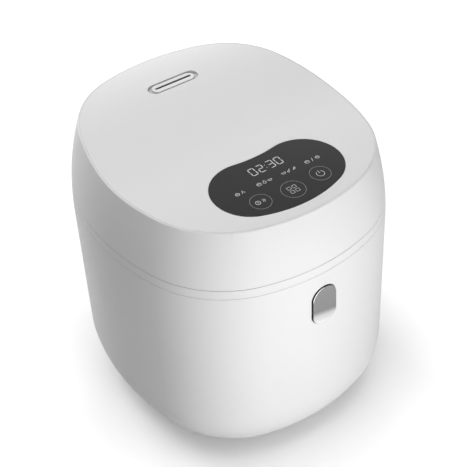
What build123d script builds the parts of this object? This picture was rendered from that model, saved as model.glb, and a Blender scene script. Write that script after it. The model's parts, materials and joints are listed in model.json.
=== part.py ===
"""Rice cooker in millimetres, Z up, front at -Y, standing on Z = 0."""
import math
import os

from build123d import *

os.makedirs("parts", exist_ok=True)

# Body outline in plan: three tangent arcs to a quarter
BODY_WIDTH = 200.0
BODY_DEPTH = 217.0
SIDE_RADIUS = 178.0
FRONT_RADIUS = 141.0
CORNER_RADIUS = 76.0

# Body in section
FOOT_HEIGHT = 3.0
BASE_RADIUS = 44.0
BASE_PART_ANGLE = 60.0
SEAM_HEIGHT = 170.25
LEAN_DROP = 18.25
LEAN_RADIUS = 215.0
RING_HEIGHT = 6.6
WALL = 2.5

# Lid top: rises above the seam along the middle, from front to rear, and the sideways crown
TOP_FRONT_EDGE = 39.95
TOP_FRONT = 41.95
TOP_MIDDLE = 43.85
TOP_REAR = 50.35
TOP_REAR_EDGE = 50.75
TOP_REACH = 200.0
TOP_CROWN = 1.4
CREASE_RADIUS = 1.0
CREASE_LINE = 0.25
CREASE_LINE_DEPTH = 0.4

# Clearances
SEAM_GAP = 0.3
RING_GAP = 0.2
SEAT_GAP = 0.2
SLIDE_GAP = 0.4
PIN_GAP = 0.08
BORE_GAP = 0.1

# Base cover, feet and screws
FLANGE_REACH = 46.0
FLANGE_THICK = 2.5
COVER_THICK = 2.2
FOOT_RADIUS = 9.0
FOOT_SINK = 0.8
FOOT_BEVEL = 1.0
FOOT_SIDE_INSET = 60.0
FOOT_FRONT_INSET = 62.5
SCREW_RADIUS = 1.5
HEAD_RADIUS = 3.0
HEAD_HEIGHT = 2.0
CROSS_SPAN = 3.8
CROSS_WIDTH = 0.9
CROSS_DEPTH = 1.1
BOSS_WALL = 3.0
BASE_SCREW_INSET = 39.0
BASE_SCREW_Y = 22.0
BASE_SCREW_LENGTH = 14.0
SLOT_COUNT = 7
SLOT_LENGTH = 34.0
SLOT_WIDTH = 2.4
SLOT_PITCH = 6.0
SLOT_REAR_INSET = 70.5

# Upper ring
RING_WALL = 4.8
DECK_THICK = 2.5
SPIGOT_DROP = 6.3
RECESS_DEPTH = 2.1
RECESS_PLAY = 1.5

# Inner pot
POT_SIDE_SPACE = 24.0
POT_FRONT_SPACE = 32.5
POT_WALL = 1.6
POT_CORNER = 12.0
POT_FLANGE = 9.5

# Well, heater and sensor
POT_PLAY = 4.2
MOUTH_PLAY = 2.0
LINER_WALL = 0.8
WELL_CLEAR = 3.3
LINER_LIP = 3.5
BAND_RISE = 41.0
BAND_HEIGHT = 30.0
BAND_THICK = 1.2
HEATER_LAP = 4.0
HEATER_STAND = 11.2
HEATER_THICK = 7.7
HEATER_GAP = 0.3
ELEMENT_INSET = 18.0
ELEMENT_TUBE = 3.2
ELEMENT_SWEEP = 310.0
TERMINAL_RADIUS = 2.0
TERMINAL_DROP = 9.0
POST_INSET = 8.5
POST_RADIUS = 3.5
FUSE_LENGTH = 18.0
FUSE_WIDTH = 7.0
FUSE_HEIGHT = 5.0
FUSE_INSET = 16.0
SENSOR_RADIUS = 13.5
SENSOR_TOP = 2.0
SENSOR_SKIRT = 1.0
SENSOR_TRAVEL = 2.5
SENSOR_PLAY = 1.0
GUIDE_WALL = 1.5
GUIDE_HEIGHT = 10.0
SENSOR_COIL = 7.5
SENSOR_WIRE = 0.6
SENSOR_PITCH = 2.7

# Power board and inlet
BOARD_THICK = 1.6
BOARD_SIDE_INSET = 57.0
BOARD_FRONT_INSET = 58.5
BOARD_DEPTH = 60.0
BOARD_LIFT = 8.6
BOARD_EDGE = 5.0
STUD_RADIUS = 3.0
BOARD_SCREW_LENGTH = 6.0
TRANSFORMER = (24.0, 20.0, 15.0)
RELAY = (18.0, 15.0, 14.0)
CAPACITOR_RADIUS = 5.0
CAPACITOR_HEIGHT = 13.0
INLET_RISE = 25.0
INLET_WIDTH = 24.4
INLET_TALL = 16.4
INLET_WALL = 1.8
INLET_COLLAR = 2.6
INLET_PROUD = 5.0
INLET_DEPTH = 17.0
INLET_BACK = 2.0
PAD_PROUD = 0.6
PAD_MARGIN = 2.0
BLADE_LENGTH = 11.0
BLADE_WIDTH = 2.0
BLADE_TALL = 4.0
BLADE_SPREAD = 7.0

# Release button and latch
BUTTON_DROP = 34.4
BUTTON_WIDTH = 19.2
BUTTON_TALL = 32.1
BUTTON_TRAVEL = 3.0
BUTTON_TOP_PROUD = 1.0
BUTTON_CREASE_PROUD = 1.4
BUTTON_LOW_PROUD = 0.9
BUTTON_CREASE_DROP = 7.0
BUTTON_BEND = 28.0
BUTTON_EDGE = 0.7
BUTTON_LIP = 1.5
BUTTON_LIP_THICK = 2.5
PUSHER_TOP = 4.15
PUSHER_TALL = 3.0
PUSHER_WIDTH = 8.0
PUSHER_LENGTH = 3.7
LEVER_THICK = 3.0
LEVER_WIDTH = 12.0
LEVER_TAIL = 2.0
PIVOT_RISE = 21.65
PIVOT_RADIUS = 1.5
LEVER_BOSS = 3.2
NOSE_REACH = 1.8
NOSE_TALL = 3.0
CATCH_THICK = 1.5
CATCH_WIDTH = 38.0
CATCH_DEPTH = 6.0
CATCH_GAP = 0.4
CHEEK_THICK = 2.5
CHEEK_GAP = 0.7
FRAME_BACK = 2.5
FRAME_DEPTH = 14.0
FRAME_DROP = 11.85
TAB_REACH = 7.3
TAB_DEPTH = 8.0
LATCH_SCREW_LENGTH = 4.4
BUTTON_COIL = 3.6
BUTTON_WIRE = 0.4
BUTTON_PITCH = 1.75
BUTTON_COIL_DROP = 6.45

# Hinge
HINGE_RADIUS = 6.0
HINGE_PIN = 2.0
HINGE_WIDTH = 68.0
KNUCKLE_WIDTH = 39.0
KNUCKLE_WEB = 5.6
HINGE_GAP = 0.5
SPRING_SPACE = 17.0
HINGE_COIL = 3.1
HINGE_WIRE = 0.5
HINGE_PITCH = 1.7
HINGE_TURNS = 8

# Lid inside
LID_BASE_RISE = 0.6
LID_BASE_THICK = 2.0
DOME_PLAY = 8.0
DOME_HEIGHT = 15.0
LID_SCREW_INSET = 17.0
LID_SCREW_LENGTH = 12.0
LID_BOSS_DEPTH = 3.0
INNER_LID_LAP = 3.0
INNER_LID_THICK = 1.0
INNER_LID_RISE = 3.0
GASKET_IN = 2.5
GASKET_OUT = 3.5
GASKET_CLEAR = 0.3
GASKET_TOP = 1.6
LID_POST_NECK = 4.7
LID_POST_HEAD = 8.0
LID_POST_CAP = 6.5
LID_SENSOR_X = 30.0
LID_SENSOR_RADIUS = 4.0
LID_SENSOR_FLANGE = 6.0
STEAM_HOLE = 2.3
STEAM_PITCH = 7.0

# Touch panel and what lies under it
LOBE_RADIUS = 26.7
LOBE_X = 21.0
PANEL_FRONT_INSET = 17.2
PANEL_BULGE = 4.1
PANEL_DIP = 2.0
PANEL_THICK = 1.5
PANEL_LEDGE = 3.0
CONTROL_DROP = 11.2
CONTROL_MARGIN = 6.3
CONTROL_EDGE = 4.0
CONTROL_DEPTH = 44.0
CONTROL_BACK = 27.3
CONTROL_POST_Y = 12.0
DISPLAY_WIDTH = 34.0
DISPLAY_DEPTH = 14.0
DISPLAY_BACK = 43.5
KEY_X = 23.4
KEY_BACK = 16.9
KEY_MIDDLE_BACK = 14.4
TOUCH_PAD_RADIUS = 5.0

# Steam vent
VENT_REAR_INSET = 48.0
VENT_LENGTH = 40.0
VENT_WIDTH = 10.8
GROOVE_END = 3.2
GROOVE_SIDE = 1.0
STEAM_SLOT_END = 2.15
STEAM_SLOT_WIDTH = 2.1
INSERT_SLIT = 0.5
INSERT_SINK = 0.25
INSERT_FLANGE = 0.8
CAP_THICK = 1.5
CAP_SINK = 0.2
STEM_INSET = 0.9
STEM_WALL = 0.9
STEM_LENGTH = 7.0
SEAT_FLANGE = 3.0
SEAT_THICK = 2.0
SEAT_TUBE_WALL = 1.6
SEAT_TUBE_LENGTH = 14.0
DUCT_WALL = 1.4
DUCT_OVERLAP = 8.0

# Levels and places worked out from the sizes above: body
HALF_WIDTH = BODY_WIDTH / 2
HALF_DEPTH = BODY_DEPTH / 2
CORE_INSET = 0.8 * CORNER_RADIUS
BASE_TOP = FOOT_HEIGHT + BASE_RADIUS
PART_HEIGHT = BASE_TOP - BASE_RADIUS * math.sin(math.radians(BASE_PART_ANGLE))
FLOOR_TOP = FOOT_HEIGHT + COVER_THICK
LEAN_START = SEAM_HEIGHT - LEAN_DROP
RING_TOP = SEAM_HEIGHT - SEAM_GAP / 2
RING_LOW = RING_TOP - RING_HEIGHT
LID_LOW = SEAM_HEIGHT + SEAM_GAP / 2
BLOCK_TOP = SEAM_HEIGHT + TOP_REAR_EDGE + 3 * WALL
DECK_LOW = RING_TOP - DECK_THICK
RECESS_FLOOR = RING_TOP - RECESS_DEPTH
RECESS_LOW = RECESS_FLOOR - DECK_THICK
FOOT_X = HALF_WIDTH - FOOT_SIDE_INSET
FOOT_Y = HALF_DEPTH - FOOT_FRONT_INSET
BASE_SCREW_X = HALF_WIDTH - BASE_SCREW_INSET
SLOT_Y = HALF_DEPTH - SLOT_REAR_INSET
INLET_HEIGHT = BASE_TOP + INLET_RISE
HINGE_Y = HALF_DEPTH + HINGE_RADIUS
HINGE_Z = SEAM_HEIGHT
BUTTON_RISE = math.atan2(BUTTON_CREASE_PROUD - BUTTON_TOP_PROUD, BUTTON_TALL / 2 + BUTTON_CREASE_DROP)
BUTTON_FALL = math.atan2(BUTTON_CREASE_PROUD - BUTTON_LOW_PROUD, BUTTON_TALL / 2 - BUTTON_CREASE_DROP)
BEND_REACH = (math.cos(BUTTON_RISE) + math.cos(BUTTON_FALL)) / (1 + math.cos(BUTTON_RISE + BUTTON_FALL))
BUTTON_PROUD = BUTTON_CREASE_PROUD - BUTTON_BEND * (BEND_REACH - 1)
ORIGIN_Y = (HINGE_Y + HINGE_RADIUS - HALF_DEPTH - BUTTON_PROUD) / 2

# Power board, well, heater and pot, stacked from the floor up
BOARD_WIDTH = BODY_WIDTH - 2 * BOARD_SIDE_INSET
BOARD_Y = BOARD_DEPTH / 2 + BOARD_FRONT_INSET - HALF_DEPTH
BOARD_LOW = FLOOR_TOP + BOARD_LIFT + SEAT_GAP
BOARD_TOP = BOARD_LOW + BOARD_THICK + BORE_GAP
LINER_BOTTOM = BOARD_TOP + max(TRANSFORMER[2], RELAY[2], CAPACITOR_HEIGHT) + WELL_CLEAR
LINER_FLOOR = LINER_BOTTOM + LINER_WALL
HEATER_LOW = LINER_FLOOR + HEATER_STAND
HEATER_TOP = HEATER_LOW + HEATER_THICK
POT_BOTTOM = HEATER_TOP + HEATER_GAP
POT_RADIUS = min(HALF_WIDTH - POT_SIDE_SPACE, HALF_DEPTH - POT_FRONT_SPACE)
RIM_LOW = RECESS_FLOOR + SEAT_GAP
RIM_TOP = RIM_LOW + POT_WALL
RIM_RADIUS = POT_RADIUS + POT_FLANGE
RECESS_RADIUS = RIM_RADIUS + RECESS_PLAY
MOUTH_RADIUS = POT_RADIUS + MOUTH_PLAY
LINER_INSIDE = POT_RADIUS + POT_PLAY
LINER_OUTSIDE = LINER_INSIDE + LINER_WALL
BAND_LOW = POT_BOTTOM + BAND_RISE
HEATER_RADIUS = POT_RADIUS - POT_CORNER + HEATER_LAP
ELEMENT_RING = HEATER_RADIUS - ELEMENT_INSET
POST_RING = HEATER_RADIUS - POST_INSET
FUSE_Y = ELEMENT_RING - FUSE_INSET

# Lid inside, button and latch
LID_BASE_LOW = LID_LOW + LID_BASE_RISE
LID_BASE_TOP = LID_BASE_LOW + LID_BASE_THICK
DOME_RADIUS = POT_RADIUS + DOME_PLAY
INNER_LID_RADIUS = POT_RADIUS + INNER_LID_LAP
INNER_LID_LOW = LID_BASE_LOW + INNER_LID_RISE
INNER_LID_TOP = INNER_LID_LOW + INNER_LID_THICK
BUTTON_HEIGHT = SEAM_HEIGHT - BUTTON_DROP
LIP_FRONT_Y = -(HALF_DEPTH - WALL) + 2 * SLIDE_GAP
LIP_BACK_Y = LIP_FRONT_Y + BUTTON_LIP_THICK
PUSHER_HIGH = BUTTON_HEIGHT + PUSHER_TOP
LEVER_FRONT_Y = LIP_BACK_Y + PUSHER_LENGTH + SEAM_GAP
LEVER_BACK_Y = LEVER_FRONT_Y + LEVER_THICK
PIVOT_Y = (LEVER_FRONT_Y + LEVER_BACK_Y) / 2
PIVOT_Z = BUTTON_HEIGHT + PIVOT_RISE
CATCH_LOW = LID_BASE_TOP + BORE_GAP
CATCH_TOP = CATCH_LOW + CATCH_THICK
CATCH_FRONT_Y = LEVER_BACK_Y + NOSE_REACH + CATCH_GAP
NOSE_LOW = CATCH_TOP + CATCH_GAP
NOSE_TOP = NOSE_LOW + NOSE_TALL
CHEEK_IN = BUTTON_WIDTH / 2 + BUTTON_LIP + CHEEK_GAP
CHEEK_OUT = CHEEK_IN + CHEEK_THICK
CHEEK_FRONT_Y = LIP_BACK_Y + 3 * SLIDE_GAP
FRAME_BACK_Y = CHEEK_FRONT_Y + FRAME_DEPTH
FRAME_BOTTOM = BUTTON_HEIGHT - FRAME_DROP
TAB_FRONT_Y = CHEEK_FRONT_Y + CHEEK_THICK
TAB_TOP = DECK_LOW - SEAT_GAP
TAB_LOW = TAB_TOP - CHEEK_THICK

# Touch panel and steam vent
PANEL_FRONT = PANEL_FRONT_INSET - HALF_DEPTH
LOBE_Y = PANEL_FRONT + LOBE_RADIUS + PANEL_BULGE
CONTROL_HEIGHT = SEAM_HEIGHT + TOP_FRONT - CONTROL_DROP
CONTROL_WIDTH = 2 * (LOBE_X + LOBE_RADIUS + CONTROL_MARGIN)
CONTROL_POST_X = CONTROL_WIDTH / 2 - CONTROL_EDGE
CONTROL_Y = PANEL_FRONT + CONTROL_BACK
DISPLAY_Y = PANEL_FRONT + DISPLAY_BACK
KEY_Y = PANEL_FRONT + KEY_BACK
KEY_MIDDLE_Y = PANEL_FRONT + KEY_MIDDLE_BACK
VENT_Y = HALF_DEPTH - VENT_REAR_INSET
CAP_LENGTH = VENT_LENGTH - 2 * GROOVE_END
CAP_WIDTH = VENT_WIDTH - 2 * GROOVE_SIDE
STEAM_SLOT_LENGTH = CAP_LENGTH - 2 * STEAM_SLOT_END
VENT_FLOOR_DROP = CAP_SINK + CAP_THICK


# Outline: the corner arc's centre touches both the side arc and the front arc
def corner_centre():
    side_x = HALF_WIDTH - SIDE_RADIUS
    front_y = HALF_DEPTH - FRONT_RADIUS
    to_side = SIDE_RADIUS - CORNER_RADIUS
    to_front = FRONT_RADIUS - CORNER_RADIUS
    apart = math.hypot(side_x, front_y)
    along = (to_side**2 - to_front**2 + apart**2) / (2 * apart)
    across = math.sqrt(to_side**2 - along**2)
    unit_x = -side_x / apart
    unit_y = front_y / apart
    x = side_x + along * unit_x - across * unit_y
    y = along * unit_y + across * unit_x
    return x, y


def outline(inset):
    cx, cy = corner_centre()
    sx = HALF_WIDTH - SIDE_RADIUS
    fy = HALF_DEPTH - FRONT_RADIUS
    low = math.degrees(math.atan2(cy, cx - sx))
    high = math.degrees(math.atan2(cy - fy, cx))
    bend = high - low
    side = SIDE_RADIUS - inset
    front = FRONT_RADIUS - inset
    corner = CORNER_RADIUS - inset
    return Wire(
        [
            CenterArc((sx, 0), side, 0, low),
            CenterArc((cx, cy), corner, low, bend),
            CenterArc((0, fy), front, high, 180 - 2 * high),
            CenterArc((-cx, cy), corner, 180 - high, bend),
            CenterArc((-sx, 0), side, 180 - low, 2 * low),
            CenterArc((-cx, -cy), corner, 180 + low, bend),
            CenterArc((0, -fy), front, 180 + high, 180 - 2 * high),
            CenterArc((cx, -cy), corner, 360 - high, bend),
            CenterArc((sx, 0), side, 360 - low, low),
        ]
    )


# Wall section: inset from the outline at a height, for a surface sunk by a depth
def inset_at(z, depth=0.0):
    if z > LEAN_START:
        return LEAN_RADIUS - math.sqrt((LEAN_RADIUS - depth) ** 2 - (z - LEAN_START) ** 2)
    if z < BASE_TOP:
        return BASE_RADIUS - math.sqrt((BASE_RADIUS - depth) ** 2 - (BASE_TOP - z) ** 2)
    return depth


def wall_point(z, depth=0.0):
    return Vector(HALF_WIDTH - inset_at(z, depth), 0, z)


def wall_line(z_low, z_high, depth):
    stops = [z_low]
    for level in (BASE_TOP, LEAN_START):
        if z_low < level < z_high:
            stops.append(level)
    stops.append(z_high)
    edges = []
    for low, high in zip(stops, stops[1:]):
        middle = (low + high) / 2
        ends = (wall_point(low, depth), wall_point(high, depth))
        if BASE_TOP <= low and high <= LEAN_START:
            edges.append(Line(*ends))
        else:
            edges.append(ThreePointArc(ends[0], wall_point(middle, depth), ends[1]))
    return edges


def swept(edges):
    return sweep(make_face(edges), path=outline(0.0))


def wall_band(z_low, z_high, depth_out, depth_in):
    outer = wall_line(z_low, z_high, depth_out)
    inner = wall_line(z_low, z_high, depth_in)
    top = Line(wall_point(z_high, depth_out), wall_point(z_high, depth_in))
    low = Line(wall_point(z_low, depth_out), wall_point(z_low, depth_in))
    return swept(outer + inner + [top, low])


def plate(inset, z_low, z_high):
    return extrude(Pos(0, 0, z_low) * Face(outline(inset)), z_high - z_low)


def wall_block(z_low, z_high, depth):
    core_x = HALF_WIDTH - CORE_INSET
    inner = [
        Line(wall_point(z_high, depth), (core_x, 0, z_high)),
        Line((core_x, 0, z_high), (core_x, 0, z_low)),
        Line((core_x, 0, z_low), wall_point(z_low, depth)),
    ]
    ring = swept(wall_line(z_low, z_high, depth) + inner)
    return ring + plate(CORE_INSET, z_low, z_high)


# Plain shapes
def block(x, y, z):
    size = (x[1] - x[0], y[1] - y[0], z[1] - z[0])
    centre = (sum(x) / 2, sum(y) / 2, sum(z) / 2)
    return Pos(*centre) * Box(*size)


def rod(radius, z_low, z_high, x=0.0, y=0.0):
    return extrude(Pos(x, y, z_low) * Circle(radius), z_high - z_low)


def tube(outside, inside, z_low, z_high):
    return rod(outside, z_low, z_high) - rod(inside, z_low, z_high)


def rod_x(radius, x_low, x_high, y, z):
    return extrude(Plane((x_low, y, z), z_dir=(1, 0, 0)) * Circle(radius), x_high - x_low)


def slot(length, width, z_low, z_high, y=0.0):
    return extrude(Pos(0, y, z_low) * SlotOverall(length, width), z_high - z_low)


def turned(points):
    return revolve(make_face(Polyline([(r, 0, z) for r, z in points], close=True)), Axis.Z)


def spring(turns, pitch, coil, wire, start, direction):
    helix = Helix(pitch, pitch * turns, coil, center=start, direction=direction)
    section = Plane(helix @ 0, z_dir=helix % 0) * Circle(wire)
    return sweep(section, path=helix, is_frenet=True)


def screw(length):
    body = rod(SCREW_RADIUS, 0, length) + rod(HEAD_RADIUS, -HEAD_HEIGHT, 0)
    long = (-CROSS_SPAN / 2, CROSS_SPAN / 2)
    thin = (-CROSS_WIDTH / 2, CROSS_WIDTH / 2)
    deep = (-HEAD_HEIGHT - 1, CROSS_DEPTH - HEAD_HEIGHT)
    return body - block(long, thin, deep) - block(thin, long, deep)


def corners(x, y):
    return [(x, y), (-x, y), (-x, -y), (x, -y)]


# The row's origin lies under the middle of the whole length, hinge and button included
def save(shape, name):
    export_step(Pos(0, -ORIGIN_Y, 0) * shape, f"parts/{name}.step")


# Lid top surface: one side profile lofted across, lower at the sides by the crown
def below_top(drop):
    reach = HALF_WIDTH + WALL
    crown = TOP_CROWN * (reach / HALF_WIDTH) ** 2
    sides = [top_section(x, drop + crown) for x in (-reach, reach)]
    return loft([sides[0], top_section(0, drop), sides[1]])


def top_section(x, drop):
    step = TOP_REACH / 4
    rises = (TOP_FRONT_EDGE, TOP_FRONT, TOP_MIDDLE, TOP_REAR, TOP_REAR_EDGE)
    points = [Vector(x, (i - 2) * step, SEAM_HEIGHT + rise - drop) for i, rise in enumerate(rises)]
    curve = Spline(*points)
    front = points[0] - (curve % 0) * step
    rear = points[-1] + (curve % 1) * step
    low = LID_LOW - step
    return make_face(
        [
            Line(front, points[0]),
            curve,
            Line(points[-1], rear),
            Line(rear, (x, rear.Y, low)),
            Line((x, rear.Y, low), (x, front.Y, low)),
            Line((x, front.Y, low), front),
        ]
    )


def top_height(y):
    strip = below_top(0.0) & block((-1, 1), (y - 1, y + 1), (LID_LOW, BLOCK_TOP))
    return strip.bounding_box().max.Z


# Base cover, feet and screws
def base_cover():
    rim = PART_HEIGHT - SEAM_GAP
    core_x = HALF_WIDTH - CORE_INSET
    inner_start = wall_point(rim, COVER_THICK)
    inner_floor = Vector(HALF_WIDTH - BASE_RADIUS, 0, FLOOR_TOP)
    inner_mid_z = (rim + FLOOR_TOP) / 2
    section = wall_line(FOOT_HEIGHT, rim, 0.0) + [
        Line(wall_point(rim), inner_start),
        ThreePointArc(inner_start, wall_point(inner_mid_z, COVER_THICK), inner_floor),
        Line(inner_floor, (core_x, 0, FLOOR_TOP)),
        Line((core_x, 0, FLOOR_TOP), (core_x, 0, FOOT_HEIGHT)),
        Line((core_x, 0, FOOT_HEIGHT), (HALF_WIDTH - BASE_RADIUS, 0, FOOT_HEIGHT)),
    ]
    cover = swept(section) + plate(CORE_INSET, FOOT_HEIGHT, FLOOR_TOP)
    sink = FOOT_HEIGHT + SEAT_GAP + HEAD_HEIGHT
    for x, y in corners(BASE_SCREW_X, BASE_SCREW_Y):
        cover += rod(HEAD_RADIUS + BOSS_WALL / 2, FOOT_HEIGHT + COVER_THICK / 2, rim, x, y)
        cover -= rod(HEAD_RADIUS + SLIDE_GAP, FOOT_HEIGHT - 1, sink + SEAT_GAP, x, y)
        cover -= rod(SCREW_RADIUS + BORE_GAP, FOOT_HEIGHT, rim + 1, x, y)
    for x, y in corners(FOOT_X, FOOT_Y):
        cover -= rod(FOOT_RADIUS + BORE_GAP, FOOT_HEIGHT - 1, FOOT_HEIGHT + FOOT_SINK, x, y)
    for x, y in board_studs():
        cover += rod(STUD_RADIUS, FOOT_HEIGHT + COVER_THICK / 2, FLOOR_TOP + BOARD_LIFT, x, y)
        cover -= rod(SCREW_RADIUS + BORE_GAP, FLOOR_TOP, FLOOR_TOP + BOARD_LIFT + 1, x, y)
    for i in range(SLOT_COUNT):
        y = SLOT_Y + (i - (SLOT_COUNT - 1) / 2) * SLOT_PITCH
        cover -= slot(SLOT_LENGTH, SLOT_WIDTH, FOOT_HEIGHT - 1, FLOOR_TOP + 1, y)
    return cover


def board_studs():
    x = BOARD_WIDTH / 2 - BOARD_EDGE
    y = BOARD_DEPTH / 2 - BOARD_EDGE
    return [(px, py + BOARD_Y) for px, py in corners(x, y)]


def base_screws():
    z = FOOT_HEIGHT + SEAT_GAP + HEAD_HEIGHT
    places = corners(BASE_SCREW_X, BASE_SCREW_Y)
    return Compound([Pos(x, y, z) * screw(BASE_SCREW_LENGTH) for x, y in places])


def rubber_feet():
    foot = rod(FOOT_RADIUS, 0, FOOT_HEIGHT + FOOT_SINK - BORE_GAP)
    foot = chamfer(foot.edges().group_by(Axis.Z)[0], FOOT_BEVEL)
    return Compound([Pos(x, y, 0) * foot for x, y in corners(FOOT_X, FOOT_Y)])


# Outer shell with its bottom flange, button hole and inlet pad
def outer_shell():
    top = RING_LOW - RING_GAP
    shell = wall_band(PART_HEIGHT, top, 0.0, WALL)
    lip = inset_at(PART_HEIGHT, WALL / 2)
    flange_top = PART_HEIGHT + FLANGE_THICK
    shell += plate(lip, PART_HEIGHT, flange_top) - plate(FLANGE_REACH, PART_HEIGHT - 1, flange_top + 1)
    boss_top = FOOT_HEIGHT + HEAD_HEIGHT + BASE_SCREW_LENGTH + BOSS_WALL
    for x, y in corners(BASE_SCREW_X, BASE_SCREW_Y):
        shell += rod(SCREW_RADIUS + BOSS_WALL, PART_HEIGHT, boss_top, x, y)
        shell -= rod(SCREW_RADIUS + BORE_GAP, PART_HEIGHT - 1, boss_top - BOSS_WALL / 2, x, y)
    shell += inlet_pad() - inlet_body(SLIDE_GAP)
    shell -= inlet_body(SLIDE_GAP)
    shell -= button_prism(2 * SLIDE_GAP, HALF_DEPTH - 4 * WALL, 6 * WALL)
    return shell


def rear_plane(y):
    return Plane((0, y, INLET_HEIGHT), x_dir=(-1, 0, 0), z_dir=(0, 1, 0))


def rear_panel(width, tall, y_low, y_high, radius):
    return extrude(rear_plane(y_low) * RectangleRounded(width, tall, radius), y_high - y_low)


def inlet_pad():
    width = INLET_WIDTH + 2 * (INLET_WALL + INLET_COLLAR + PAD_MARGIN)
    tall = INLET_TALL + 2 * (INLET_WALL + INLET_COLLAR + PAD_MARGIN)
    return rear_panel(width, tall, HALF_DEPTH - WALL, HALF_DEPTH + PAD_PROUD, 2 * PAD_MARGIN)


def inlet_body(gap):
    width = INLET_WIDTH + 2 * (INLET_WALL + gap)
    tall = INLET_TALL + 2 * (INLET_WALL + gap)
    rear = HALF_DEPTH + PAD_PROUD + INLET_PROUD
    return rear_panel(width, tall, rear - INLET_DEPTH - INLET_BACK, rear, INLET_WALL)


def power_inlet():
    rear = HALF_DEPTH + PAD_PROUD + INLET_PROUD
    width = INLET_WIDTH + 2 * (INLET_WALL + INLET_COLLAR)
    tall = INLET_TALL + 2 * (INLET_WALL + INLET_COLLAR)
    collar = rear_panel(width, tall, HALF_DEPTH + PAD_PROUD + BORE_GAP, rear, INLET_WALL + INLET_COLLAR)
    collar = fillet(collar.faces().sort_by(Axis.Y)[-1].edges(), INLET_COLLAR / 3)
    hollow = extrude(rear_plane(rear - INLET_DEPTH) * inlet_mouth(), INLET_DEPTH + 1)
    inlet = collar + inlet_body(0.0) - hollow
    for x, z in blade_places():
        inlet -= blade(x, z, BORE_GAP)
    return inlet


def inlet_mouth():
    top = Rectangle(INLET_WIDTH, INLET_TALL)
    return chamfer(top.vertices().group_by(Axis.Y)[-1], INLET_TALL / 4)


def blade_places():
    low = INLET_HEIGHT - INLET_TALL / 8
    high = INLET_HEIGHT + INLET_TALL / 8
    return [(-BLADE_SPREAD, low), (0.0, high), (BLADE_SPREAD, low)]


def blade(x, z, gap):
    base = HALF_DEPTH + PAD_PROUD + INLET_PROUD - INLET_DEPTH
    half_x = BLADE_WIDTH / 2 + gap
    half_z = BLADE_TALL / 2 + gap
    y_low = base - INLET_BACK - BLADE_TALL
    return block((x - half_x, x + half_x), (y_low, base + BLADE_LENGTH), (z - half_z, z + half_z))


def inlet_pins():
    return Compound([blade(x, z, 0.0) for x, z in blade_places()])


# Upper ring with pot recess, latch slot and hinge ears
def upper_ring():
    ring = wall_band(RING_LOW, RING_TOP, 0.0, RING_WALL)
    ring += wall_band(RING_LOW - SPIGOT_DROP, RING_LOW + SEAM_GAP, WALL + SEAM_GAP, RING_WALL)
    deck = plate(inset_at(RING_TOP, RING_WALL / 2), DECK_LOW, RING_TOP)
    ring += deck - rod(RECESS_RADIUS, DECK_LOW - 1, RING_TOP + 1)
    ring += tube(RECESS_RADIUS + DECK_THICK, RECESS_RADIUS, RECESS_LOW, RING_TOP)
    ring += tube(RECESS_RADIUS + DECK_THICK, MOUTH_RADIUS, RECESS_LOW, RECESS_FLOOR)
    front, rear = latch_slot_y()
    half = LEVER_WIDTH / 2 + 3 * SLIDE_GAP
    ring -= block((-half, half), (front, rear), (DECK_LOW - 1, RING_TOP + 1))
    for x, y in latch_screw_places():
        ring -= rod(SCREW_RADIUS + BORE_GAP, DECK_LOW - 1, RING_TOP - DECK_THICK / 4, x, y)
    for side in (-1, 1):
        ring += hinge_ear(side)
    return ring - rod_x(HINGE_PIN + PIN_GAP, -HINGE_WIDTH, HINGE_WIDTH, HINGE_Y, HINGE_Z)


def hinge_ear(side):
    near = KNUCKLE_WIDTH / 2 + HINGE_GAP
    far = HINGE_WIDTH / 2
    span = sorted((side * near, side * far))
    barrel = rod_x(HINGE_RADIUS, span[0], span[1], HINGE_Y, HINGE_Z)
    web_y = HALF_DEPTH - RING_WALL - far**2 / (2 * FRONT_RADIUS)
    web = block(span, (web_y, HINGE_Y), (RING_LOW + SEAM_GAP, RING_TOP))
    return barrel + web


def hinge_pin():
    return rod_x(HINGE_PIN, -HINGE_WIDTH / 2, HINGE_WIDTH / 2, HINGE_Y, HINGE_Z)


def hinge_spring():
    start = (-HINGE_PITCH * HINGE_TURNS / 2, HINGE_Y, HINGE_Z)
    return spring(HINGE_TURNS, HINGE_PITCH, HINGE_COIL, HINGE_WIRE, start, (1, 0, 0))


# Well, heater and sensor
def well_liner():
    top = RECESS_LOW - SEAT_GAP
    liner = tube(LINER_OUTSIDE, LINER_INSIDE, LINER_BOTTOM, top)
    liner += tube(LINER_OUTSIDE + LINER_LIP, LINER_INSIDE, top - LINER_WALL, top)
    liner += tube(LINER_OUTSIDE, SENSOR_COIL + 2 * SENSOR_WIRE, LINER_BOTTOM, LINER_FLOOR)
    for x, y in terminal_places():
        liner -= rod(2 * TERMINAL_RADIUS, LINER_BOTTOM - 1, LINER_FLOOR + 1, x, y)
    return liner


def keep_warm_band():
    inside = LINER_OUTSIDE + SEAT_GAP
    return tube(inside + BAND_THICK, inside, BAND_LOW, BAND_LOW + BAND_HEIGHT)


def heater_plate():
    return tube(HEATER_RADIUS, SENSOR_RADIUS + SENSOR_PLAY, HEATER_LOW, HEATER_TOP)


def element_height():
    return HEATER_LOW - SEAT_GAP - ELEMENT_TUBE


def element_start():
    return 90.0 + (360.0 - ELEMENT_SWEEP) / 2


def terminal_places():
    places = []
    for angle in (element_start(), element_start() + ELEMENT_SWEEP):
        turn = math.radians(angle)
        places.append((ELEMENT_RING * math.cos(turn), ELEMENT_RING * math.sin(turn)))
    return places


def heating_element():
    z = element_height()
    ring = revolve(Plane.XZ * Pos(ELEMENT_RING, z) * Circle(ELEMENT_TUBE), Axis.Z, ELEMENT_SWEEP)
    element = Rot(0, 0, element_start()) * ring
    for x, y in terminal_places():
        element += rod(TERMINAL_RADIUS, z - ELEMENT_TUBE - TERMINAL_DROP, z, x, y)
    return element


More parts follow.
